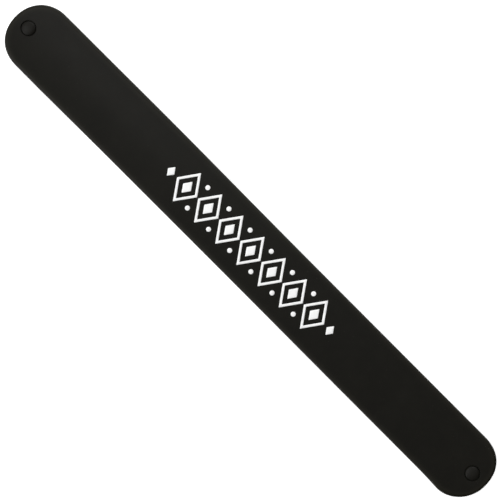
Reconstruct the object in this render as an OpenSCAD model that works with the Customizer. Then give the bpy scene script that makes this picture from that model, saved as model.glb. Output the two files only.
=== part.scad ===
/* [Band] */
// Length of the band laid out straight, from tip to tip
band_l = 240; // [200:1:270]
// Width of the band, measured over its curve
band_w = 25.3; // [22:0.2:30]
// Thickness of the sleeve from face to back
band_t = 2.6; // [2.4:0.1:3.4]
// Radius of the shallow trough that runs along the face
camber_r = 42; // [34:1:90]
// Radius of the rounded edges of face and back
edge_r = 1.1; // [0.5:0.05:1.15]

/* [Spring pocket] */
// Width of the solid rim that closes the sleeve around the spring
rim_w = 2.2; // [1.5:0.1:3]
// Thickness of the steel tape
tape_t = 0.2; // [0.12:0.02:0.3]
// Room between the edge of the tape and the rim
tape_side_gap = 0.3; // [0.1:0.1:0.6]
// Room above and below the tape
tape_face_gap = 0.1; // [0.05:0.01:0.2]

/* [End buttons] */
// Distance from each tip of the band to the middle of its button
button_inset = 6.6; // [6:0.05:12]
// Radius of the domed head
head_r = 2.65; // [1.8:0.05:2.75]
// Height of the straight side of the head
head_side_h = 0.3; // [0.1:0.05:0.5]
// Height of the dome over the straight side
dome_h = 0.65; // [0.2:0.05:0.9]
// Radius of the round recess in the face
recess_r = 2.85; // [2.8:0.05:3.4]
// Depth of the recess in the middle of the face
recess_d = 0.6; // [0.3:0.05:0.65]
// Radius of the stem
stem_r = 1.2; // [0.8:0.1:1.4]
// Depth of the blind hole that takes the foot of the stem, below the pocket
socket_d = 0.5; // [0.2:0.05:0.6]
// Room around the stem where it passes through the steel tape
tape_hole_gap = 0.3; // [0.1:0.05:0.6]
// Room around a button where it sits in the sleeve
button_gap = 0.05; // [0.03:0.01:0.15]

/* [Printed motif] */
// Thickness of the ink film
ink_t = 0.06; // [0.04:0.01:0.15]
// Room between the ink film and the face
ink_gap = 0.02; // [0.01:0.01:0.05]
// Number of outlined lozenges in the row
lozenge_n = 7; // [3:2:9]
// Distance from one lozenge to the next
lozenge_pitch = 10.8; // [10.6:0.2:13]
// Length of an outlined lozenge along the band
lozenge_l = 10.2; // [8:0.2:10.4]
// Height of an outlined lozenge across the band
lozenge_h = 14.4; // [10:0.2:16]
// Width of the line that outlines a lozenge
line_w = 0.9; // [0.5:0.1:1.4]
// Length of the solid lozenge inside an outlined one
core_l = 3.9; // [2:0.1:4.4]
// Height of the solid lozenge inside an outlined one
core_h = 5.6; // [3:0.1:6]
// Radius of the dots between the lozenges
dot_r = 0.9; // [0.4:0.1:1.2]
// Distance of the dots from the middle line of the band
dot_y = 5.2; // [4.6:0.1:6]
// Length of the small lozenge at each end of the row
tail_l = 3.2; // [2:0.1:5]
// Height of the small lozenge at each end of the row
tail_h = 4.4; // [2:0.1:6]
// Space between the row and the small lozenge at its end
tail_gap = 1.4; // [0.6:0.1:3]

/* [Hidden] */

// Steps of the half-round ends and of the rounded edges
end_steps = 20;
edge_steps = 4;
// Steps of a full circle for the wide arcs and for the small round features
arc_fn = 360;
round_fn = 64;
// Overshoot of a cut past the face that it opens
cut = 0.5;

// Angle at the trough's axis that a width over the curve takes up
function turn(v) = v / camber_r * 180 / PI;
// Half-width as seen from above that a half-width over the curve comes to, to a thousandth
function seen(v) = round(1000 * camber_r * sin(turn(v))) / 1000;

step_a = 90 / (end_steps - 0.5);
ring_n = 4 * end_steps;
half_w = band_w / 2;
// Middle points of the half-round ends
end_x = band_l / 2 - half_w;
// Half-width of the flat strip in the middle of the back, on which the band rests
rest_v = (half_w - edge_r) * sin(step_a / 2);
// Height of the trough's axis, so that the resting strip lies at zero
axis_z = (camber_r + band_t / 2) * cos(turn(rest_v));
face_r = camber_r - band_t / 2;
face_z = axis_z - face_r;
// Height of the prisms that cut a curved layer to its outline
prism_h = axis_z / 2;

pocket_t = tape_t + 2 * tape_face_gap;
pocket_v = half_w - rim_w;
tape_v = pocket_v - tape_side_gap;
tape_hole_r = stem_r + tape_hole_gap;

button_x = band_l / 2 - button_inset;
floor_z = face_z - recess_d;
head_z = floor_z + button_gap;
socket_z = axis_z - camber_r - pocket_t / 2 - socket_d;
stem_h = head_z - socket_z - button_gap;
bore_r = stem_r + button_gap;
dome_r = (head_r * head_r + dome_h * dome_h) / (2 * dome_h);

// Outline of an edge from back to face: distance in from the side, and height over the middle of the thickness
function edge_row(k) = edge_r * (1 - sin(90 * k / edge_steps));
function edge_up(k) = band_t / 2 - edge_r * (1 - cos(90 * k / edge_steps));
edge_outline = concat(
  [for (k = [0:edge_steps]) [edge_row(k), -edge_up(k)]],
  [for (k = [edge_steps:-1:0]) [edge_row(k), edge_up(k)]]
);

// Point of the sleeve's skin, bent from the flat position u along, v across and n up
function bent(u, v, n) = [u, (camber_r - n) * sin(turn(v)), axis_z - (camber_r - n) * cos(turn(v))];

// Direction of a point on the loop round the band, first round the right end and then round the left
function loop_a(i) = i < 2 * end_steps ? i * step_a - 90 : (i - 2 * end_steps) * step_a + 90;
function loop_point(i, inset, up) =
  let (r = half_w - inset, side = i < 2 * end_steps ? 1 : -1)
  bent(side * end_x + r * cos(loop_a(i)), r * sin(loop_a(i)), up);

// Corners of the loop's quads between one row of the edge outline and the next
function at(row, i) = row * ring_n + i % ring_n;
function edge_faces(row) = [
  for (i = [0:ring_n - 1]) each [
    [at(row, i), at(row + 1, i), at(row + 1, i + 1)],
    [at(row, i), at(row + 1, i + 1), at(row, i + 1)]
  ]
];
// Long strips that close the face or the back, each from one end of the band to the other
function strip(row, i) = [at(row, i), at(row, i + 1), at(row, ring_n - 2 - i), at(row, ring_n - 1 - i)];
function turned(quad) = [quad[3], quad[2], quad[1], quad[0]];

// Half-round ended outline, as seen from above
module band_outline(r, length) {
  square([length - 2 * r, 2 * r], center = true);
  for (side = [-1, 1])
    translate([side * (length / 2 - r), 0])
      circle(r, $fn = arc_fn);
}

// Curved layer between two radii from the trough's axis, over the whole band
module curved_layer(r_in, r_out) {
  translate([0, 0, axis_z])
    rotate([90, 0, 90])
      linear_extrude(band_l + 2 * cut, center = true)
        difference() {
          circle(r_out, $fn = arc_fn);
          circle(r_in, $fn = arc_fn);
        }
}

// Curved layer of a thickness about the middle of the sleeve, cut to a half-round ended outline
module curved_sheet(half_v, thick) {
  intersection() {
    curved_layer(camber_r - thick / 2, camber_r + thick / 2);
    linear_extrude(prism_h)
      band_outline(seen(half_v), 2 * (end_x + half_v));
  }
}

module at_buttons() {
  for (side = [-1, 1])
    translate([side * button_x, 0, 0])
      children();
}

module band_solid() {
  rows = len(edge_outline);
  polyhedron(
    points = [for (p = edge_outline) for (i = [0:ring_n - 1]) loop_point(i, p[0], p[1])],
    faces = concat(
      [for (row = [0:rows - 2]) each edge_faces(row)],
      [for (i = [0:2 * end_steps - 2]) strip(0, i)],
      [for (i = [0:2 * end_steps - 2]) turned(strip(rows - 1, i))]
    )
  );
}

module sleeve() {
  color([0.09, 0.09, 0.09])
    difference() {
      band_solid();
      curved_sheet(pocket_v, pocket_t);
      at_buttons() {
        translate([0, 0, floor_z])
          cylinder(band_t, r = recess_r, $fn = round_fn);
        translate([0, 0, socket_z])
          cylinder(band_t, r = bore_r, $fn = round_fn);
      }
    }
}

module spring_tape() {
  color([0.72, 0.72, 0.74])
    difference() {
      curved_sheet(tape_v, tape_t);
      at_buttons()
        cylinder(band_t, r = tape_hole_r, $fn = round_fn);
    }
}

// Domed plug with its stem, centred on the origin
module end_button() {
  color([0.1, 0.1, 0.1]) {
    translate([0, 0, head_z])
      intersection() {
        cylinder(head_side_h + dome_h, r = head_r, $fn = round_fn);
        translate([0, 0, head_side_h + dome_h - dome_r])
          sphere(dome_r, $fn = round_fn);
      }
    translate([0, 0, head_z - stem_h])
      cylinder(stem_h + head_side_h, r = stem_r, $fn = round_fn);
  }
}

module end_button_left() {
  translate([-button_x, 0, 0])
    end_button();
}

module end_button_right() {
  translate([button_x, 0, 0])
    end_button();
}

module lozenge(length, height) {
  polygon([[-length / 2, 0], [0, -height / 2], [length / 2, 0], [0, height / 2]]);
}

// Share by which the hollow of an outlined lozenge is smaller, for a line of one width all round
hollow = 1 - 2 * line_w * norm([lozenge_l, lozenge_h]) / (lozenge_l * lozenge_h);
row_end = (lozenge_n - 1) / 2 * lozenge_pitch;
tail_x = row_end + lozenge_l / 2 + tail_gap + tail_l / 2;

module motif_outline() {
  for (i = [0:lozenge_n - 1])
    translate([i * lozenge_pitch - row_end, 0]) {
      difference() {
        lozenge(lozenge_l, lozenge_h);
        lozenge(hollow * lozenge_l, hollow * lozenge_h);
      }
      lozenge(core_l, core_h);
    }
  for (i = [0:lozenge_n - 2], side = [-1, 1])
    translate([(i + 0.5) * lozenge_pitch - row_end, side * dot_y])
      circle(dot_r, $fn = round_fn);
  for (side = [-1, 1])
    translate([side * tail_x, 0])
      lozenge(tail_l, tail_h);
}

module printed_motif() {
  color([0.96, 0.96, 0.95])
    intersection() {
      curved_layer(face_r - ink_gap - ink_t, face_r - ink_gap);
      linear_extrude(prism_h)
        motif_outline();
    }
}

sleeve();
spring_tape();
end_button_left();
end_button_right();
printed_motif();
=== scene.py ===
import math

import bpy
from bpy.props import FloatProperty, FloatVectorProperty, IntProperty, PointerProperty
from mathutils import Euler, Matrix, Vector, noise
from mathutils.geometry import delaunay_2d_cdt


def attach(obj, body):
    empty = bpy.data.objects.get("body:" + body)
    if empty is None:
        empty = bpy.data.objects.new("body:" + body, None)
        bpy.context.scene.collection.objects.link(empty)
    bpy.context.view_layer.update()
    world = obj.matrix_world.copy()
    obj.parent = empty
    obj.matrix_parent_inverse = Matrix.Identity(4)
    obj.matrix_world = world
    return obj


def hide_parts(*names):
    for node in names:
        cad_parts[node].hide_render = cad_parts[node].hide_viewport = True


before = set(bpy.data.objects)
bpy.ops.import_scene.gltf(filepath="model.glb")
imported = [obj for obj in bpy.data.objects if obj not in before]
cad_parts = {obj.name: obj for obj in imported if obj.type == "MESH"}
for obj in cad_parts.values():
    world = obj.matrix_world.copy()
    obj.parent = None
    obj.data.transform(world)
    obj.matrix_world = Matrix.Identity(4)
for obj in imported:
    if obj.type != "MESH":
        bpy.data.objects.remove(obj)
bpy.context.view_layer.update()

bl_info = {
    "name": "Slap bracelet",
    "version": (1, 0, 0),
    "blender": (4, 5, 0),
    "location": "3D View > Sidebar > Bracelet",
    "description": "Makes a straight silicone slap bracelet, with its end buttons, its print and a studio",
    "category": "Object",
}

MM = 0.001

# Points of a circle
ROUND = 96
# Steps round a half-round end, and from the side of the band up to its face or down to its back
END_STEPS = 48
EDGE_STEPS = 10

# Steps of a recess's lip, and the corner round its floor
LIP_STEPS = 4
CORNER_STEPS = 3
CORNER_RADIUS = 0.1 * MM
# Rings of points on the face round a recess: how far each is from the lip, and its points
RING_ROOMS = (0.45 * MM, 1.0 * MM)
RING_POINTS = 72
# How far the other points of the face stay from a lip, and the rings' points from the face's rim
LIP_ROOM = 1.2 * MM
RIM_ROOM = 0.5 * MM

# Rows under the middle of the parting line: how far under it, and how much of the line stands out there
PARTING_ROWS = ((0.16 * MM, 0.0), (0.09 * MM, 0.25), (0.04 * MM, 1.0))
# Grain of the line's unevenness, and where in the noise it starts
PARTING_GRAIN = 300
PARTING_START = Vector((3, 7, 1))

# Soft waves of the two long sides: height, place along the band and spread of each, in millimetres
UPPER_WAVES = ((0.33, -54, 44), (0.08, -106, 16))
LOWER_WAVES = ((0.23, -98, 24), (-0.08, 2, 40), (0.38, 110, 6))
# How far the upper and the lower corner of a round end stand out past a half-round
LEFT_CORNERS = (0.07 * MM, 0.21 * MM)
RIGHT_CORNERS = (0.36 * MM, 0.06 * MM)

# Bevels of a button's foot and of its head, and steps from its side up to the top of its dome
FOOT_BEVEL = 0.1 * MM
HEAD_BEVEL = 0.03 * MM
DOME_STEPS = 30

# How far from a tip its rounding starts, in corner radii, and where its points lie along the curve
ROUNDING = 1.5
ROUNDING_SHARES = (0.0, 0.25, 0.5, 0.75, 1.0)
# Points of a dot, length of the pieces of a mark's side, and distance between the points inside a mark
DOT_POINTS = 40
SIDE_PIECE = 0.5 * MM
MARK_SPACING = 0.7 * MM
# How far the ink's edge wanders, the grain of that, and how far the top of the film is drawn in
WANDER = 0.012 * MM
WANDER_GRAIN = 0.5 * MM
DRAWN_IN = 0.025 * MM

# How far in from the band's side the painted highlight along its rounded edge ends and is at its palest
RIM_HIGHLIGHT_WIDTH = 2.8 * MM
RIM_HIGHLIGHT_PALEST = 0.6 * MM

# Distance in metres from the middle of the stage to the floor's edge and the curtain
STAGE_REACH = 3.0
CURTAIN_HEIGHTS = (-1.5, -0.75, 0.0, 0.75, 1.5, 2.25, 3.0)
# Places in the room, from 0 in its middle to 1 on its right, between which its light fades
ROOM_FADE = (0.05, 0.7)
# How far the camera stands from over the band's middle, to the right and up in the picture
CAMERA_ASIDE = (-0.18 * MM, 0.33 * MM, 0.0)


# Sizes and colours that a user would change

def length(name, description, millimetres):
    """A length property, whose default is given in millimetres."""
    return FloatProperty(name=name, description=description, default=millimetres * MM, min=0.0,
                         precision=5, unit="LENGTH", subtype="DISTANCE")


def colour(name, description, default):
    """A colour property in linear light."""
    return FloatVectorProperty(name=name, description=description, default=default, size=3, min=0.0,
                               max=1.0, subtype="COLOR")


def factor(name, description, default):
    """A property between nothing and all."""
    return FloatProperty(name=name, description=description, default=default, min=0.0, max=1.0,
                         subtype="FACTOR")


def strength(name, description, default):
    """The strength of a glow."""
    return FloatProperty(name=name, description=description, default=default, min=0.0)


def power(name, description, watts):
    """The power of a light."""
    return FloatProperty(name=name, description=description, default=watts, min=0.0, unit="POWER")


class BandSizes(bpy.types.PropertyGroup):
    """Sizes of the silicone sleeve and of the pocket inside it"""
    full_length: length("Length", "Length of the band laid out straight, tip to tip", 240)
    width: length("Width", "Width measured over the curve", 25.3)
    thickness: length("Thickness", "Thickness of the sleeve from face to back", 2.6)
    trough_radius: length("Trough radius", "Radius of the shallow trough along the face", 42)
    edge_radius: length("Edge radius", "Radius of the rounded edges of face and back", 1.1)
    parting_height: length("Parting line", "How far the mould's parting line stands out from the edge", 0.03)
    rim_width: length("Rim", "Width of the solid rim around the pocket", 2.2)
    pocket_thickness: length("Pocket", "Height of the pocket that holds the spring", 0.4)
    mesh_spacing: length("Mesh spacing", "Distance between the mesh points of the face and back", 1.2)


class ButtonSizes(bpy.types.PropertyGroup):
    """Sizes of the domed end buttons and of the recesses that they sit in"""
    tip_distance: length("Tip distance", "Distance from each tip of the band to its button's middle", 6.6)
    head_radius: length("Head radius", "Radius of the domed head", 2.65)
    side_height: length("Side height", "Height of the straight side of the head", 0.1)
    dome_height: length("Dome height", "Height of the dome over the straight side", 0.85)
    recess_radius: length("Recess radius", "Radius of the recess in the face", 2.85)
    recess_depth: length("Recess depth", "Depth of the recess in the middle of the face", 0.6)
    lip: length("Lip", "Radius that softens the rim of the recess", 0.12)
    stem_radius: length("Stem radius", "Radius of the stem under the head", 1.2)
    socket_depth: length("Socket depth", "Depth of the blind hole for the stem's foot, below the pocket", 0.5)
    gap: length("Gap", "Room around a button where it sits in the sleeve", 0.05)


class MotifSizes(bpy.types.PropertyGroup):
    """Sizes of the printed row of lozenges"""
    count: IntProperty(name="Lozenges", description="Number of outlined lozenges in the row", default=7,
                       min=1)
    pitch: length("Pitch", "Distance from one lozenge to the next", 10.8)
    lozenge_length: length("Lozenge length", "Length of an outlined lozenge along the band", 10.2)
    lozenge_height: length("Lozenge height", "Height of an outlined lozenge across the band", 14.4)
    line_width: length("Line width", "Width of the line that outlines a lozenge", 0.9)
    core_length: length("Core length", "Length of the solid lozenge inside an outlined one", 3.9)
    core_height: length("Core height", "Height of the solid lozenge inside an outlined one", 5.6)
    dot_radius: length("Dot radius", "Radius of the dots between the lozenges", 0.9)
    dot_offset: length("Dot offset", "Distance of the dots from the middle line of the band", 5.2)
    tail_length: length("Tail length", "Length of the small lozenge at each end of the row", 3.2)
    tail_height: length("Tail height", "Height of the small lozenge at each end of the row", 4.4)
    tail_gap: length("Tail gap", "Space between the row and the small lozenge at its end", 1.4)
    film: length("Film", "Thickness of the ink film", 0.06)
    face_gap: length("Face gap", "Room between the ink film and the face", 0.02)
    corner: length("Corner", "Radius of the corners that the wet ink rounds off", 0.12)


class Finish(bpy.types.PropertyGroup):
    """Colours and gloss of the band's materials"""
    silicone: colour("Silicone", "Colour of the black silicone", (0.0061, 0.0057, 0.0041))
    buttons: colour("Buttons", "Colour of the end buttons' silicone", (0.0087, 0.0082, 0.0066))
    dust: colour("Dust", "Colour of fine dust on the silicone", (0.11, 0.105, 0.095))
    ink: colour("Ink", "Colour of the printed ink", (0.965, 0.965, 0.96))
    steel: colour("Steel", "Colour of the spring", (0.62, 0.63, 0.65))
    silicone_roughness: factor("Silicone roughness", "How matte the silicone is", 0.38)
    button_roughness: factor("Button roughness", "How matte the buttons are", 0.36)
    silicone_shine: factor("Silicone shine", "How strongly silicone mirrors what is round it", 0.137)
    ink_roughness: factor("Ink roughness", "How matte the ink is", 0.48)


class StageSettings(bpy.types.PropertyGroup):
    """Floor, light and camera"""
    floor: colour("Floor", "Colour of the floor", (0.9, 0.9, 0.9))
    floor_glow: strength("Floor glow", "Light that the back-lit floor gives off", 0.7)
    key_power: power("Key light", "Power of the softbox at the lower left", 1.72)
    wide_power: power("Wide light", "Power of the wide softbox at the left", 1.45)
    side_power: power("Side light", "Power of each strip light beside the band", 4.8)
    room_light: strength("Room light", "Strength of the room's light, which fades to the right", 0.68)
    frame_width: length("Frame width", "Width of the picture where it crosses the band", 180.3)
    lens: FloatProperty(name="Lens", description="Focal length of the camera in millimetres", default=100.0,
                        min=1.0, unit="CAMERA")
    turn: FloatProperty(name="Turn", description="How far the camera is turned about its line of sight",
                        default=math.radians(45.085), subtype="ANGLE", unit="ROTATION")


# Shader maths

class Link:
    """An output socket, on which Python's operators add Math nodes."""

    def __init__(self, nodes, socket):
        self.nodes, self.socket = nodes, socket

    def maths(self, operation, *values):
        return self.nodes.node("ShaderNodeMath", {"operation": operation}, dict(enumerate(values)))

    def __add__(self, other):
        return self.maths("ADD", self, other)

    __radd__ = __add__

    def __sub__(self, other):
        return self.maths("SUBTRACT", self, other)

    def __rsub__(self, other):
        return self.maths("SUBTRACT", other, self)

    def __mul__(self, other):
        return self.maths("MULTIPLY", self, other)

    __rmul__ = __mul__

    def __abs__(self):
        return self.maths("ABSOLUTE", self)

    def root(self):
        return self.maths("SQRT", self)

    def above(self, other):
        """The greater of the two."""
        return self.maths("MAXIMUM", self, other)

    def other(self, name):
        """Another output of the same node."""
        return Link(self.nodes, self.socket.node.outputs[name])

    def step(self, start, end, low=0.0, high=1.0):
        """Goes smoothly from low at start to high at end."""
        values = {"Value": self, "From Min": start, "From Max": end, "To Min": low, "To Max": high}
        return self.nodes.node("ShaderNodeMapRange", {"interpolation_type": "SMOOTHSTEP"}, values)


class Nodes:
    """The node tree of a material or of the room."""

    def __init__(self, owner):
        owner.use_nodes = True
        self.tree = owner.node_tree

    def node(self, kind, settings=None, values=None, output=0):
        """Adds a node: its settings first, then the value or link of each socket."""
        made = self.tree.nodes.new(kind)
        for name, value in (settings or {}).items():
            setattr(made, name, value)
        for name, value in (values or {}).items():
            self.put(made.inputs[name], value)
        return Link(self, made.outputs[output])

    def put(self, socket, value):
        if isinstance(value, Link):
            self.tree.links.new(value.socket, socket)
        elif isinstance(value, (int, float)):
            socket.default_value = value
        else:
            fixed = tuple(value)
            socket.default_value = fixed + (1.0,) * (len(socket.default_value) - len(fixed))

    def parts(self, vector):
        """The three numbers of a vector."""
        split = self.node("ShaderNodeSeparateXYZ", {}, {0: vector})
        return [split.other(axis) for axis in "XYZ"]


class Shade(Nodes):
    """A material made of one Principled shader, and the nodes that feed it."""

    def __init__(self, name):
        self.material = bpy.data.materials.new(name)
        super().__init__(self.material)
        self.shader = self.tree.nodes["Principled BSDF"]
        self.place = self.node("ShaderNodeTexCoord", {}, {}, "Object")

    def principled(self, **values):
        """Sets the shader's sockets, whose names are written with _ for a space."""
        for name, value in values.items():
            self.put(self.shader.inputs[name.replace("_", " ")], value)

    def scaled(self, factors):
        """The object's coordinates, stretched along each axis."""
        return self.node("ShaderNodeVectorMath", {"operation": "MULTIPLY"}, {0: self.place, 1: factors})

    def noise(self, grain, detail=2.0, rough=0.5, at=None, distortion=0.0):
        """Noise between 0 and 1 whose grain is given in metres."""
        values = {"Vector": at or self.place, "Scale": 1 / grain, "Detail": detail, "Roughness": rough,
                  "Distortion": distortion}
        return self.node("ShaderNodeTexNoise", {}, values)

    def specks(self, spacing, size, share):
        """Round specks: 1 on a speck. Only a share of the cells holds one."""
        near = self.node("ShaderNodeTexVoronoi", {"feature": "F1"},
                         {"Vector": self.place, "Scale": 1 / spacing, "Randomness": 1.0}, "Distance")
        chance = self.node("ShaderNodeSeparateColor", {}, {0: near.other("Color")})
        return (1 - near.step(0.3 * size / spacing, size / spacing)) * (1 - chance.step(share, share + 0.01))

    def mix(self, share, first, second):
        """A colour between two colours."""
        values = {"Factor": share, "A": first, "B": second}
        return self.node("ShaderNodeMix", {"data_type": "RGBA"}, values, "Result")

    def bump(self, *layers):
        """Bump layers, each a height between 0 and 1 and its depth in metres, one on top of the other."""
        normal = {}
        for height, depth in layers:
            values = {"Height": height, "Distance": depth, "Strength": 1.0, **normal}
            normal = {"Normal": self.node("ShaderNodeBump", {}, values)}
        self.principled(**normal)


# Meshes

def after(loop):
    """The same closed loop, begun at its second point."""
    return loop[1:] + loop[:1]


def circle(x, y, radius, count=ROUND):
    """Points of a circle in plan, anticlockwise from above."""
    turns = [2 * math.pi * i / count for i in range(count)]
    return [(x + radius * math.cos(a), y + radius * math.sin(a)) for a in turns]


def stations(end_x, arc_steps, side_steps):
    """Stations round a half-round ended outline: the middle of the arc that each is on, and its direction."""
    arc = [math.pi * i / arc_steps for i in range(arc_steps + 1)]
    right = [(end_x, a - math.pi / 2) for a in arc]
    left = [(-end_x, a + math.pi / 2) for a in arc]
    top = [(end_x * (1 - 2 * i / side_steps), math.pi / 2) for i in range(1, side_steps)]
    bottom = [(-x, -a) for x, a in top]
    return right + top + left + bottom


def from_middle(x, y, end_x):
    """Distance of a point from the line between the middles of the round ends."""
    return math.hypot(max(abs(x) - end_x, 0), y)


def inside(point, outline):
    """Whether a point lies inside a closed outline."""
    within = False
    for a, b in zip(outline, after(outline)):
        if (a.y > point.y) != (b.y > point.y):
            if point.x < b.x + (a.x - b.x) * (point.y - b.y) / (a.y - b.y):
                within = not within
    return within


def enclosed(point, outlines):
    """Whether a point lies inside the first outline and outside the others, which are its holes."""
    return inside(point, outlines[0]) and not any(inside(point, hole) for hole in outlines[1:])


def moved(outline, distances):
    """An outline whose points are each moved to the right of the way that it runs."""
    found = []
    for before, here, following, out in zip(outline[-1:] + outline[:-1], outline, after(outline), distances):
        along = (Vector(following) - Vector(before)).normalized()
        found.append((here[0] + along.y * out, here[1] - along.x * out))
    return found


class Shell:
    """Points and faces of one mesh, in metres. A loop is a list of point numbers."""

    def __init__(self):
        self.points, self.faces = [], []

    def add(self, points):
        """Adds points and returns their numbers."""
        first = len(self.points)
        self.points.extend(Vector(p) for p in points)
        return list(range(first, len(self.points)))

    def ring(self, x, radius, height):
        """A level circle round a point of the band's middle line."""
        return self.add([(px, py, height) for px, py in circle(x, 0, radius)])

    def rows(self, *loops):
        """Quads between closed loops. Seen from outside, loops that run to the right are stacked upwards."""
        for low, high in zip(loops, loops[1:]):
            self.faces.extend(zip(low, after(low), after(high), high))

    def fan(self, loop, centre, up):
        """Triangles between an anticlockwise loop and a point inside it, which face up or down."""
        middle = self.add([centre])[0]
        for here, there in zip(loop, after(loop)):
            self.faces.append((here, there, middle) if up else (there, here, middle))

    def sheet(self, loop, holes, inner, up):
        """Triangles inside a loop and outside its holes, through the inner points, which face up or down."""
        rims = [loop, *holes]
        numbers = [n for rim in rims for n in rim] + self.add(inner)
        place = {number: i for i, number in enumerate(numbers)}
        edges = [(place[a], place[b]) for rim in rims for a, b in zip(rim, after(rim))]
        flat = [self.points[n].xy for n in numbers]
        _, _, faces, origins, _, _ = delaunay_2d_cdt(flat, edges, [], 0, 1e-9)
        if not all(origins):
            raise RuntimeError("two outlines of a sheet cross")
        outlines = [[self.points[n].xy for n in rim] for rim in rims]
        for face in faces:
            corners = [numbers[origins[i][0]] for i in face]
            middle = sum((self.points[n].xy for n in corners), Vector((0, 0))) / 3
            if enclosed(middle, outlines):
                self.faces.append(tuple(corners if up else corners[::-1]))

    def make(self, name, material):
        mesh = bpy.data.meshes.new(name)
        mesh.from_pydata(self.points, [], self.faces)
        if mesh.validate():
            raise RuntimeError(f"the mesh of {name} has faults")
        mesh.shade_smooth()
        mesh.materials.append(material)
        piece = bpy.data.objects.new(name, mesh)
        bpy.context.scene.collection.objects.link(piece)
        return piece


class Band:
    """The bent form of the band: the same trough for its face, its back and the pocket."""

    def __init__(self, scene):
        self.sizes, self.buttons = scene.band_sizes, scene.button_sizes
        self.radius = self.sizes.trough_radius
        self.half_width = self.sizes.width / 2
        self.half_thick = self.sizes.thickness / 2
        self.half_pocket = self.sizes.pocket_thickness / 2
        self.end_x = self.sizes.full_length / 2 - self.half_width
        self.axis_z = self.radius + self.half_thick
        button_x = self.sizes.full_length / 2 - self.buttons.tip_distance
        self.button_places = {"left": -button_x, "right": button_x}
        self.floor_z = self.sizes.thickness - self.buttons.recess_depth
        self.socket_z = self.half_thick - self.half_pocket - self.buttons.socket_depth
        self.bore_radius = self.buttons.stem_radius + self.buttons.gap

    def bent(self, along, across, up):
        """A point of the flat band, after the band is bent into its trough."""
        turn, radius = across / self.radius, self.radius - up
        return Vector((along, radius * math.sin(turn), self.axis_z - radius * math.cos(turn)))

    def seen(self, across, up):
        """The width as seen from above that a width over the curve comes to."""
        return (self.radius - up) * math.sin(across / self.radius)

    def on(self, points, up):
        """Points seen from above, laid on the surface at a height over the middle of the thickness."""
        return [(x, y, self.axis_z - math.sqrt((self.radius - up) ** 2 - y * y)) for x, y in points]

    def filling(self, half_width, half_length, spacing, holes=(), hole_radius=0.0):
        """Evenly spread points inside a half-round ended outline and clear of round holes."""
        end_x, keep = half_length - half_width, 0.55 * spacing
        row_gap = spacing * math.sqrt(0.75)
        rows, columns = int(half_width / row_gap), int(half_length / spacing) + 1
        found = []
        for row in range(-rows, rows + 1):
            for column in range(-columns, columns + 1):
                x, y = (column + 0.5 * (row % 2)) * spacing, row * row_gap
                clear = all(math.hypot(x - hole, y) > hole_radius + keep for hole in holes)
                if clear and from_middle(x, y, end_x) <= half_width - keep:
                    found.append((x, y))
        return found


# Materials

def band_distance(shade, band):
    """Distance of a point from the middle line of the band, as seen from above."""
    x, y, _ = shade.parts(shade.place)
    past = (abs(x) - band.end_x).above(0.0)
    return (past * past + y * y).root()


def silicone_material(name, finish, band, black, roughness, rim_highlight_share):
    """Matte black silicone with a fine moulded grain, faint smudges, a little dust, and a painted highlight
    that makes it paler along the rounded edges.
    """
    shade = Shade(name)
    blotch = shade.noise(9 * MM, 3.0, 0.6)
    smudge = shade.noise(3.2 * MM, 4.0, 0.62, distortion=0.8)
    pits = shade.noise(0.55 * MM, 3.0, 0.55)
    grain = shade.noise(0.16 * MM, 2.0, 0.6)
    streaks = shade.noise(0.14 * MM, 2.0, 0.5, at=shade.scaled((0.02, 1.0, 1.0))).step(0.6, 0.75)
    dust = shade.specks(1.3 * MM, 0.09 * MM, 0.25)
    lint = shade.specks(0.6 * MM, 0.05 * MM, 0.3)
    # Painted highlight: the colour grows paler towards the band's rounded edges, round the sides and the
    # ends. The same mask also makes the edge a little glossier.
    rim_highlight_start, rim_highlight_full = band.half_width - RIM_HIGHLIGHT_WIDTH, band.half_width - RIM_HIGHLIGHT_PALEST
    rim_highlight = band_distance(shade, band).step(rim_highlight_start, rim_highlight_full) * rim_highlight_share
    pale, rim_highlight_colour = [c * 1.5 for c in black], [c * 3.0 for c in black]
    cloud = blotch.step(0.3, 0.75) * 0.45 + smudge.step(0.45, 0.8) * 0.35 + 0.25 * (grain - 0.5)
    tone = shade.mix(cloud, tuple(black), pale)
    # The paler colour of the painted edge highlight, mottled by the pits
    tone = shade.mix(rim_highlight * (0.25 + 0.4 * pits), tone, rim_highlight_colour)
    tone = shade.mix(dust * 0.6 + lint * 0.35, tone, tuple(finish.dust))
    uneven = 0.16 * (smudge - 0.5) + 0.1 * (pits - 0.5) + 0.12 * (grain - 0.5)
    shade.principled(Base_Color=tone, Roughness=roughness + uneven - 0.05 * rim_highlight - 0.07 * streaks,
                     IOR=1.41, Specular_IOR_Level=finish.silicone_shine)
    shade.bump((blotch, 0.02 * MM), (pits, 0.014 * MM), (grain, 0.008 * MM), (dust, 0.03 * MM),
               (lint, 0.015 * MM))
    return shade.material


def ink_material(finish):
    """White pad-printed ink: dense, with a faint grain and pinholes that show the silicone."""
    shade = Shade("white_ink")
    cloud = shade.noise(2.4 * MM, 3.0, 0.6)
    grain = shade.noise(0.12 * MM, 2.0, 0.6)
    holes = shade.specks(0.6 * MM, 0.05 * MM, 0.3)
    dense, thin = tuple(finish.ink), [c * f for c, f in zip(finish.ink, (0.945, 0.95, 0.955))]
    tone = shade.mix(cloud.step(0.35, 0.8) * 0.5 + grain * 0.12, dense, thin)
    tone = shade.mix(holes * 0.8, tone, (0.05, 0.05, 0.045))
    shade.principled(Base_Color=tone, Roughness=finish.ink_roughness + 0.1 * (cloud - 0.5), IOR=1.45)
    shade.bump((grain, 0.004 * MM), (cloud, 0.01 * MM), (1 - holes, 0.02 * MM))
    return shade.material


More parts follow.
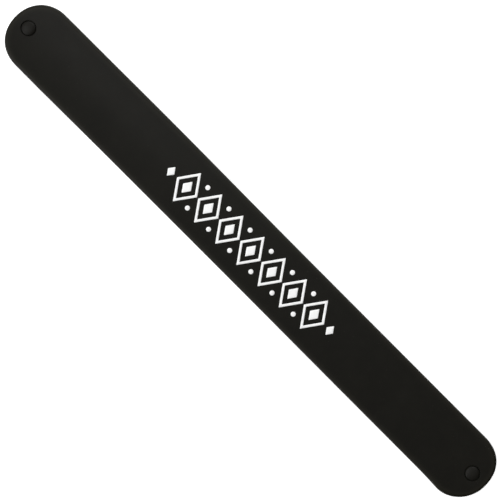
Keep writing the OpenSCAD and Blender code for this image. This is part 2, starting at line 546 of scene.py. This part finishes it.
def steel_material(finish):
    """Rolled spring steel with fine lines along its length."""
    shade = Shade("rolled_steel")
    lines = shade.noise(0.2 * MM, 3.0, 0.6, at=shade.scaled((0.01, 1.0, 1.0)))
    stain = shade.noise(12 * MM, 3.0, 0.6)
    steel = tuple(finish.steel)
    tone = shade.mix(stain * 0.5 + lines * 0.3, steel, [c * 0.8 for c in steel])
    shade.principled(Base_Color=tone, Metallic=1.0, Roughness=0.22 + 0.2 * lines)
    shade.bump((lines, 0.004 * MM))
    return shade.material


def floor_material(settings):
    """A white back-lit sheet of frosted acrylic."""
    shade = Shade("frosted_sheet")
    frost = shade.noise(0.4 * MM, 2.0, 0.5)
    cloud = shade.noise(80 * MM, 2.0, 0.5)
    white = tuple(settings.floor)
    tone = shade.mix(cloud * 0.3 + frost * 0.2, white, [c * 0.985 for c in white])
    shade.principled(Base_Color=tone, Roughness=0.6 + 0.15 * frost, Emission_Color=tone,
                     Emission_Strength=settings.floor_glow)
    shade.bump((frost, 0.004 * MM))
    return shade.material


# Operators

class MakeSleeve(bpy.types.Operator):
    """Make the hollow silicone sleeve with its recesses, its rounded edges and its parting line"""
    bl_idname = "bracelet.sleeve"
    bl_label = "Sleeve"

    def execute(self, context):
        finish, band, shell = context.scene.band_finish, Band(context.scene), Shell()
        back_rim, face_rim = self.edge(shell, band)
        lips = self.face(shell, band, face_rim)
        self.back(shell, band, back_rim)
        bores = [self.recess(shell, band, x, lip) for x, lip in zip(band.button_places.values(), lips)]
        sockets = [self.socket(shell, band, x) for x in band.button_places.values()]
        self.pocket(shell, band, bores, sockets)
        # The sleeve carries the painted highlight along its rounded edges in full, and the buttons carry
        # none.
        skin = silicone_material("black_silicone", finish, band, finish.silicone,
                                 finish.silicone_roughness, 1.0)
        sleeve = shell.make("sleeve_skin", skin)
        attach(sleeve, "root")
        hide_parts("sleeve")
        return {"FINISHED"}

    def edge(self, shell, band):
        """The edge all round, from back to face. Returns its first and last loop."""
        side_steps = max(1, round(band.end_x / band.sizes.mesh_spacing))
        places = stations(band.end_x, END_STEPS, side_steps)
        loops = [shell.add([self.edge_point(band, *place, *row) for place in places])
                 for row in self.edge_rows(band)]
        shell.rows(*loops)
        return loops[0], loops[-1]

    def edge_rows(self, band):
        """Rows of the edge from back to face: distance in, height, and share of the parting line."""
        radius, half = band.sizes.edge_radius, band.half_thick
        turns = [math.pi / 2 * i / EDGE_STEPS for i in range(EDGE_STEPS + 1)]
        low = [(radius * (1 - math.sin(a)), -half + radius * (1 - math.cos(a)), 0.0) for a in turns]
        low += [(0.0, -under, share) for under, share in PARTING_ROWS]
        return low + [(inward, -height, share) for inward, height, share in low[::-1]]

    def edge_point(self, band, middle, turn, inward, up, share):
        """A point of the edge, moved out by the parting line, the waves of the sides and the full corners."""
        uneven = noise.noise(Vector((middle, turn, 0)) * PARTING_GRAIN + PARTING_START)
        out = band.half_width - inward + share * band.sizes.parting_height * (0.75 + 0.5 * uneven)
        out += self.wave(middle + out * math.cos(turn), turn) + self.fullness(middle, turn)
        return band.bent(middle + out * math.cos(turn), out * math.sin(turn), up)

    def wave(self, along, turn):
        """How far a side bulges or draws in."""
        waves = UPPER_WAVES if math.sin(turn) > 0 else LOWER_WAVES
        bulge = sum(height * math.exp(-((along / MM - place) / spread) ** 2)
                    for height, place, spread in waves)
        return abs(math.sin(turn)) * bulge * MM

    def fullness(self, middle, turn):
        """How far a round end stands out past a half-round."""
        upper, lower = RIGHT_CORNERS if middle > 0 else LEFT_CORNERS
        return (upper if math.sin(turn) > 0 else lower) * math.sin(2 * turn) ** 2

    def face(self, shell, band, rim):
        """The face, from its rim to the lips of the recesses. Returns the lips."""
        sizes, half = band.sizes, band.half_thick
        half_width = band.seen(band.half_width - sizes.edge_radius, half)
        half_length = band.end_x + band.half_width - sizes.edge_radius
        lip_radius, holes = band.buttons.recess_radius + band.buttons.lip, band.button_places.values()
        lips = [shell.add(band.on(circle(x, 0, lip_radius), half)) for x in holes]
        inner = band.filling(half_width, half_length, sizes.mesh_spacing, holes, lip_radius + LIP_ROOM)
        for room in RING_ROOMS:
            rings = [p for x in holes for p in circle(x, 0, lip_radius + room, RING_POINTS)]
            inner += [(x, y) for x, y in rings if from_middle(x, y, band.end_x) < half_width - RIM_ROOM]
        shell.sheet(rim, lips, band.on(inner, half), True)
        return lips

    def back(self, shell, band, rim):
        """The smooth back, inside its rim."""
        half_width = band.seen(band.half_width - band.sizes.edge_radius, -band.half_thick)
        half_length = band.end_x + band.half_width - band.sizes.edge_radius
        inner = band.filling(half_width, half_length, band.sizes.mesh_spacing)
        shell.sheet(rim, [], band.on(inner, -band.half_thick), False)

    def recess(self, shell, band, x, lip):
        """The recess under a lip, and the bore under it. Returns the bore's mouth in the pocket's ceiling."""
        buttons, rings = band.buttons, [lip]
        for i in range(1, LIP_STEPS + 1):
            turn = math.pi / 2 * i / LIP_STEPS
            plan = circle(x, 0, buttons.recess_radius + buttons.lip * (1 - math.sin(turn)))
            drop = buttons.lip * (1 - math.cos(turn))
            rings.append(shell.add([(px, py, shell.points[n].z - drop) for (px, py), n in zip(plan, lip)]))
        for i in range(CORNER_STEPS + 1):
            turn = math.pi / 2 * i / CORNER_STEPS
            radius = buttons.recess_radius - CORNER_RADIUS * (1 - math.cos(turn))
            rings.append(shell.ring(x, radius, band.floor_z + CORNER_RADIUS * (1 - math.sin(turn))))
        rings.append(shell.ring(x, band.bore_radius, band.floor_z))
        mouth = shell.add(band.on(circle(x, 0, band.bore_radius), band.half_pocket))
        shell.rows(*rings, mouth)
        return mouth

    def socket(self, shell, band, x):
        """The blind hole for a stem's foot. Returns its mouth in the pocket's floor."""
        mouth = shell.add(band.on(circle(x, 0, band.bore_radius), -band.half_pocket))
        foot = shell.ring(x, band.bore_radius, band.socket_z)
        shell.rows(mouth, foot)
        shell.fan(foot, (x, 0, band.socket_z), True)
        return mouth

    def pocket(self, shell, band, bores, sockets):
        """The pocket for the spring, which is closed but for the bores and sockets."""
        across, spacing = band.half_width - band.sizes.rim_width, 1.5 * band.sizes.mesh_spacing
        half_width, half_length = band.seen(across, 0.0), band.end_x + across
        end_x = half_length - half_width
        arc_steps, side_steps = max(8, round(math.pi * half_width / spacing)), max(1, round(end_x / spacing))
        rim = [(x + half_width * math.cos(turn), half_width * math.sin(turn))
               for x, turn in stations(end_x, arc_steps, side_steps)]
        inner = band.filling(half_width, half_length, spacing, band.button_places.values(), band.bore_radius)
        ceiling, floor = (shell.add(band.on(rim, up)) for up in (band.half_pocket, -band.half_pocket))
        shell.sheet(ceiling, bores, band.on(inner, band.half_pocket), False)
        shell.sheet(floor, sockets, band.on(inner, -band.half_pocket), True)
        shell.rows(ceiling, floor)


class MakeButtons(bpy.types.Operator):
    """Make the two domed end buttons with their stems"""
    bl_idname = "bracelet.end_buttons"
    bl_label = "End buttons"

    def execute(self, context):
        finish, band = context.scene.band_finish, Band(context.scene)
        skin = silicone_material("button_silicone", finish, band, finish.buttons,
                                 finish.button_roughness, 0.0)
        *rings, top = self.profile(band)
        for name, x in band.button_places.items():
            shell = Shell()
            loops = [shell.ring(x, radius, height) for radius, height in rings]
            shell.rows(*loops)
            shell.fan(loops[0], (x, 0, rings[0][1]), False)
            shell.fan(loops[-1], (x, 0, top[1]), True)
            button = shell.make(f"button_{name}", skin)
            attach(button, "root")
            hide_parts(f"end_button_{name}")
        return {"FINISHED"}

    def profile(self, band):
        """Radius and height of the button, from its foot up to the top of its dome."""
        buttons = band.buttons
        foot, head = band.socket_z + buttons.gap, band.floor_z + buttons.gap
        rim = head + buttons.side_height
        outline = [(buttons.stem_radius - FOOT_BEVEL, foot), (buttons.stem_radius, foot + FOOT_BEVEL),
                   (buttons.stem_radius, head), (buttons.head_radius - HEAD_BEVEL, head),
                   (buttons.head_radius, head + HEAD_BEVEL)]
        for i in range(DOME_STEPS + 1):
            turn = math.pi / 2 * i / DOME_STEPS
            outline.append((buttons.head_radius * math.cos(turn), rim + buttons.dome_height * math.sin(turn)))
        return outline


class PrintMotif(bpy.types.Operator):
    """Print the row of lozenges and dots on the face, as a thin film of ink"""
    bl_idname = "bracelet.motif"
    bl_label = "Printed motif"

    def execute(self, context):
        motif, band, shell = context.scene.motif_sizes, Band(context.scene), Shell()
        low = band.half_thick + motif.face_gap
        for outlines in self.marks(motif):
            self.film(shell, band, outlines, low, low + motif.film)
        ink = shell.make("motif_ink", ink_material(context.scene.band_finish))
        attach(ink, "root")
        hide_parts("printed_motif")
        return {"FINISHED"}

    def marks(self, motif):
        """The marks of the row, each a list of its outline and, if it is hollow, the hollow's outline."""
        first = -(motif.count - 1) / 2 * motif.pitch
        size = (motif.lozenge_length, motif.lozenge_height)
        share = 1 - 2 * motif.line_width * math.hypot(*size) / (size[0] * size[1])
        found = []
        for i in range(motif.count):
            x = first + i * motif.pitch
            hollow = self.lozenge(x, share * size[0], share * size[1], 0.0)
            found.append([self.lozenge(x, *size, motif.corner), hollow])
            found.append([self.lozenge(x, motif.core_length, motif.core_height, motif.corner)])
        for i in range(motif.count - 1):
            for side in (-1, 1):
                x = first + (i + 0.5) * motif.pitch
                found.append([circle(x, side * motif.dot_offset, motif.dot_radius, DOT_POINTS)])
        reach = -first + size[0] / 2 + motif.tail_gap + motif.tail_length / 2
        for side in (-1, 1):
            found.append([self.lozenge(side * reach, motif.tail_length, motif.tail_height, motif.corner)])
        return found

    def lozenge(self, x, long, high, corner):
        """A lozenge round a point of the middle line, with rounded corners and evenly divided sides."""
        right, left = Vector((x + long / 2, 0)), Vector((x - long / 2, 0))
        tips = [right, Vector((x, high / 2)), left, Vector((x, -high / 2))]
        points = []
        for before, tip, following in zip(tips[-1:] + tips[:-1], tips, after(tips)):
            back, on = ((other - tip).normalized() * ROUNDING * corner for other in (before, following))
            start, end, finish = tip + back, tip + on, following - on
            points += self.rounded(start, tip, end) if corner else [tip]
            pieces = max(1, round((finish - end).length / SIDE_PIECE))
            points += [end.lerp(finish, i / pieces) for i in range(1, pieces)]
        return [(p.x, p.y) for p in points]

    def rounded(self, start, tip, end):
        """Points of a curve that rounds off a tip."""
        return [start * (1 - t) ** 2 + tip * 2 * t * (1 - t) + end * t * t for t in ROUNDING_SHARES]

    def film(self, shell, band, outlines, low, high):
        """A closed film between two heights, whose edge wanders a little and is drawn in at its top."""
        feet, tops = [], []
        for outline in outlines:
            uneven = [noise.noise(Vector((x, y, 0.2)) / WANDER_GRAIN) for x, y in outline]
            rim = moved(outline, [WANDER * value for value in uneven])
            if feet:
                rim = rim[::-1]  # a hollow runs clockwise, so its wall faces the hollow
            drawn = moved(rim, [-DRAWN_IN] * len(rim))
            foot, side, top = (shell.add(band.on(ring, up))
                               for ring, up in ((rim, low), (rim, high - DRAWN_IN), (drawn, high)))
            shell.rows(foot, side, top)
            feet.append(foot)
            tops.append(top)
        inner = self.filling(outlines)
        shell.sheet(tops[0], tops[1:], band.on(inner, high), True)
        shell.sheet(feet[0], feet[1:], band.on(inner, low), False)

    def filling(self, outlines):
        """Evenly spread points inside a mark and clear of its outlines."""
        xs, ys = ([int(value / MARK_SPACING) for value in values] for values in zip(*outlines[0]))
        rims = [[Vector(p) for p in outline] for outline in outlines]
        found = []
        for i in range(min(xs), max(xs) + 1):
            for j in range(min(ys), max(ys) + 1):
                spot = Vector((i * MARK_SPACING, j * MARK_SPACING))
                clear = min((spot - p).length for rim in rims for p in rim) > 0.4 * MARK_SPACING
                if clear and enclosed(spot, rims):
                    found.append(tuple(spot))
        return found


class FinishSpring(bpy.types.Operator):
    """Give the steel spring inside the sleeve its finish"""
    bl_idname = "bracelet.spring"
    bl_label = "Spring"

    def execute(self, context):
        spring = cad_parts["spring_tape"]
        spring.data.materials.clear()
        spring.data.materials.append(steel_material(context.scene.band_finish))
        return {"FINISHED"}


class SetStage(bpy.types.Operator):
    """Set the floor, the lights and the camera"""
    bl_idname = "bracelet.stage"
    bl_label = "Stage"

    def execute(self, context):
        scene, settings = context.scene, context.scene.stage_settings
        self.floor(settings)
        self.lights(scene, settings)
        self.camera(scene, settings)
        scene.view_settings.view_transform = "Standard"
        scene.view_settings.look = "None"
        return {"FINISHED"}

    def floor(self, settings):
        """A level sheet of frosted acrylic, which shows in no reflection."""
        shell, count = Shell(), 24
        steps = [STAGE_REACH * (2 * i / count - 1) for i in range(count + 1)]
        rows = [shell.add([(x, y, 0.0) for x in steps]) for y in steps]
        for low, high in zip(rows, rows[1:]):
            shell.faces.extend(zip(low, low[1:], high[1:], high))
        sheet = shell.make("floor", floor_material(settings))
        sheet.visible_glossy = False
        self.backdrop(sheet.data.materials[0])

    def backdrop(self, material):
        """A curtain of the same sheet round the floor, thin enough to let the room's light through."""
        shell = Shell()
        rings = [shell.ring(0, STAGE_REACH, height) for height in CURTAIN_HEIGHTS]
        shell.rows(*(ring[::-1] for ring in rings))
        curtain = shell.make("backdrop", material)
        curtain.visible_diffuse = curtain.visible_glossy = curtain.visible_transmission = False
        curtain.visible_volume_scatter = curtain.visible_shadow = False

    def lights(self, scene, settings):
        """The room's light and the softboxes, each with its place, its aim and its size in metres."""
        self.room(scene, settings)
        self.softbox("left_softbox", (-0.42, -0.33, 0.8), (-0.42, -0.33, 0), (0.65, 0.65), settings.key_power)
        self.softbox("wide_softbox", (-0.5, 0.0, 1.0), (-0.5, 0.0, 0.0), (1.0, 1.0), settings.wide_power)
        self.softbox("upper_strip", (-0.5, 0.9, 0.45), (-0.5, 0.0, 0.0), (1.24, 0.5), settings.side_power)
        self.softbox("lower_strip", (-0.5, -0.9, 0.45), (-0.5, 0.0, 0.0), (1.24, 0.5), settings.side_power)

    def room(self, scene, settings):
        """A white room that is open, and so dark, on the right."""
        world = bpy.data.worlds.new("studio")
        nodes = Nodes(world)
        right = nodes.parts(nodes.node("ShaderNodeTexCoord", {}, {}, "Generated"))[0]
        light = nodes.tree.nodes["Background"]
        nodes.put(light.inputs["Strength"], right.step(*ROOM_FADE, settings.room_light, 0.0))
        nodes.put(light.inputs["Color"], (1.0, 1.0, 1.0))
        scene.world = world

    def softbox(self, name, place, aim, size, watts):
        """A soft rectangular light that the camera doesn't see."""
        data = bpy.data.lights.new(name, "AREA")
        data.shape, data.size, data.size_y, data.energy = "RECTANGLE", size[0], size[1], watts
        lamp = bpy.data.objects.new(name, data)
        lamp.location = place
        lamp.rotation_euler = (Vector(aim) - Vector(place)).to_track_quat("-Z", "Y").to_euler()
        lamp.visible_camera = False
        bpy.context.scene.collection.objects.link(lamp)

    def camera(self, scene, settings):
        """The camera, which looks straight down on the face."""
        data = bpy.data.cameras.new("camera")
        data.lens, data.sensor_width = settings.lens, 36.0
        turn, aside = Euler((0, 0, settings.turn)), Vector(CAMERA_ASIDE)
        aside.rotate(turn)
        distance = settings.frame_width * data.lens / data.sensor_width
        camera = bpy.data.objects.new("camera", data)
        camera.location = aside + Vector((0, 0, scene.band_sizes.thickness + distance))
        camera.rotation_euler = turn
        scene.collection.objects.link(camera)
        scene.camera = camera


class BraceletPanel(bpy.types.Panel):
    """Lists the steps that make the bracelet"""
    bl_idname = "VIEW3D_PT_bracelet"
    bl_label = "Slap bracelet"
    bl_space_type = "VIEW_3D"
    bl_region_type = "UI"
    bl_category = "Bracelet"

    def draw(self, context):
        for step in STEPS:
            self.layout.operator(step.bl_idname)
        for name in GROUPS:
            box = self.layout.box()
            group = getattr(context.scene, name)
            box.label(text=group.bl_rna.description)
            for prop in group.bl_rna.properties:
                if prop.identifier not in ("rna_type", "name"):
                    box.prop(group, prop.identifier)


GROUPS = {"band_sizes": BandSizes, "button_sizes": ButtonSizes, "motif_sizes": MotifSizes,
          "band_finish": Finish, "stage_settings": StageSettings}
STEPS = (MakeSleeve, MakeButtons, PrintMotif, FinishSpring, SetStage)
CLASSES = (*GROUPS.values(), *STEPS, BraceletPanel)


def register():
    for cls in CLASSES:
        bpy.utils.register_class(cls)
    for name, group in GROUPS.items():
        setattr(bpy.types.Scene, name, PointerProperty(type=group))


def unregister():
    for name in GROUPS:
        delattr(bpy.types.Scene, name)
    for cls in reversed(CLASSES):
        bpy.utils.unregister_class(cls)


def main():
    register()
    bpy.ops.bracelet.sleeve()
    bpy.ops.bracelet.end_buttons()
    bpy.ops.bracelet.motif()
    bpy.ops.bracelet.spring()
    bpy.ops.bracelet.stage()


if __name__ == "__main__":
    main()
